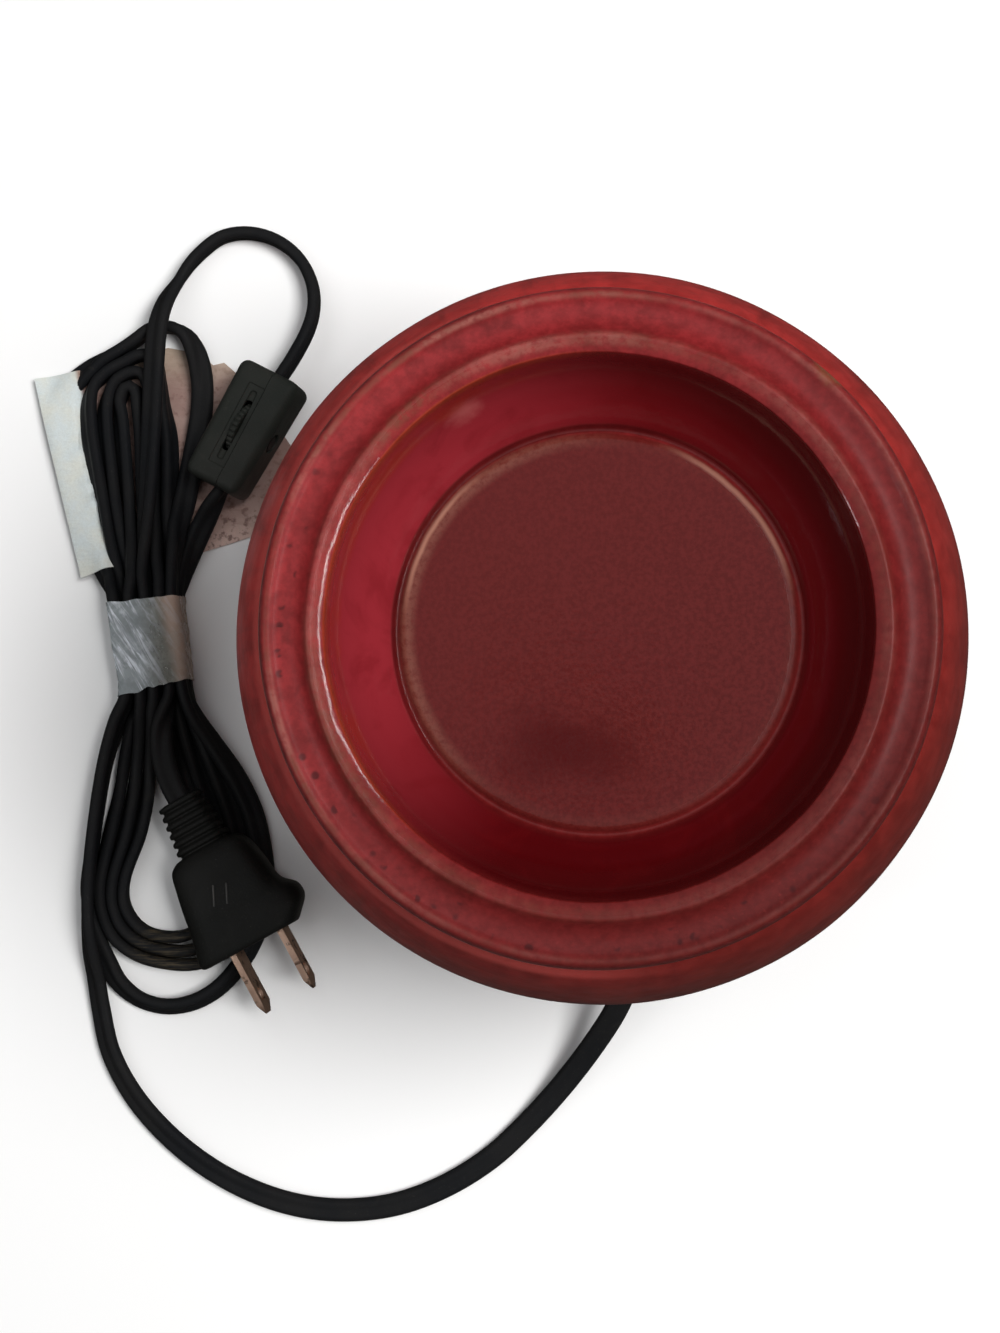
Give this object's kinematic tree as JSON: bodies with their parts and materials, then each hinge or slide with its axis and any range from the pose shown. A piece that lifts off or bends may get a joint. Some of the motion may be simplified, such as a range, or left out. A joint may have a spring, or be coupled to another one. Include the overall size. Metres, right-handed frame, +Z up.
{
  "type": "electric wax warmer",
  "caption": "Round glazed wax warmer: a loose dish rests on a pot with a lamp inside; a flat cord runs to a tied hank with an inline thumbwheel switch, a paper tag and a two-blade plug.",
  "frame": {"origin": "on the table, on the axis of the pot, at the underside of the rubber feet", "axes": "+Z up along the axis of the pot; the cord leaves the pot towards -Y, and the tied hank with switch and plug lies on the -X side"},
  "size_m": [0.2151, 0.2425, 0.145],
  "materials": {
    "dish_glaze": "gloss deep red glaze, breaking to olive grey on the ridges",
    "body_glaze": "gloss deep red glaze",
    "zinc_plate": "zinc-plated sheet",
    "steel_screw": "zinc-plated",
    "rubber_pad": "matte",
    "phenolic": "moulded, satin",
    "brass": "plain",
    "nickel": "nickel-plated",
    "bulb_glass": "clear",
    "lead_insulation": "black vinyl",
    "lead_insulation_white": "white vinyl",
    "filament": "drawn wire",
    "cord_vinyl": "black flexible vinyl, dull sheen",
    "moulded_vinyl": "black moulded vinyl, fine grain",
    "clear_tape": "clear, creased",
    "tag_paper": "plain, uncoated",
    "blade_bronze": "tarnished, scuffed"
  },
  "bodies": {
    "base": {"ceramic_body": "body_glaze", "base_plate": "zinc_plate", "lamp_bracket": "zinc_plate", "base_screw_1": "steel_screw", "base_screw_2": "steel_screw", "base_screw_3": "steel_screw", "base_nut_1": "steel_screw", "base_nut_2": "steel_screw", "base_nut_3": "steel_screw", "bracket_screw_1": "steel_screw", "bracket_screw_2": "steel_screw", "bracket_nut_1": "steel_screw", "bracket_nut_2": "steel_screw", "switch_pivot": "steel_screw", "rubber_pad_1": "rubber_pad", "rubber_pad_2": "rubber_pad", "rubber_pad_3": "rubber_pad", "rubber_pad_4": "rubber_pad", "socket_body": "phenolic", "socket_rivet": "brass", "socket_screw_shell": "brass", "socket_contact": "brass", "switch_contact_line": "brass", "switch_contact_load": "brass", "live_lead": "lead_insulation", "neutral_lead": "lead_insulation_white", "cord_lead": "cord_vinyl", "cord_hank": "cord_vinyl", "cord_top_loop": "cord_vinyl", "cord_switch_tail": "cord_vinyl", "cord_plug_tail": "cord_vinyl", "strain_relief": "moulded_vinyl", "switch_case_left": "moulded_vinyl", "switch_case_right": "moulded_vinyl", "plug_body": "moulded_vinyl", "tie_wrap": "clear_tape", "cord_tag": "tag_paper", "plug_blade_wide": "blade_bronze", "plug_blade_narrow": "blade_bronze"},
    "dish": {"wax_dish": "dish_glaze"},
    "lamp": {"bulb_glass": "bulb_glass", "bulb_cap": "nickel", "bulb_contact": "brass", "bulb_filament": "filament"},
    "wheel": {"switch_wheel": "moulded_vinyl"}
  },
  "joints": [
    {"name": "dish_lift", "type": "slide", "parent": "base", "child": "dish", "axis": [0, 0, 1], "range_m": [0, 0.05]},
    {"name": "bulb_lift", "type": "slide", "parent": "base", "child": "lamp", "axis": [0, 0, 1], "range_m": [0, 0.018]},
    {"name": "wheel_turn", "type": "hinge", "parent": "base", "child": "wheel", "pos_m": [-0.08697, 0.05499, 0.00959], "axis": [0.8772, -0.4644, 0.1219], "continuous": true}
  ]
}
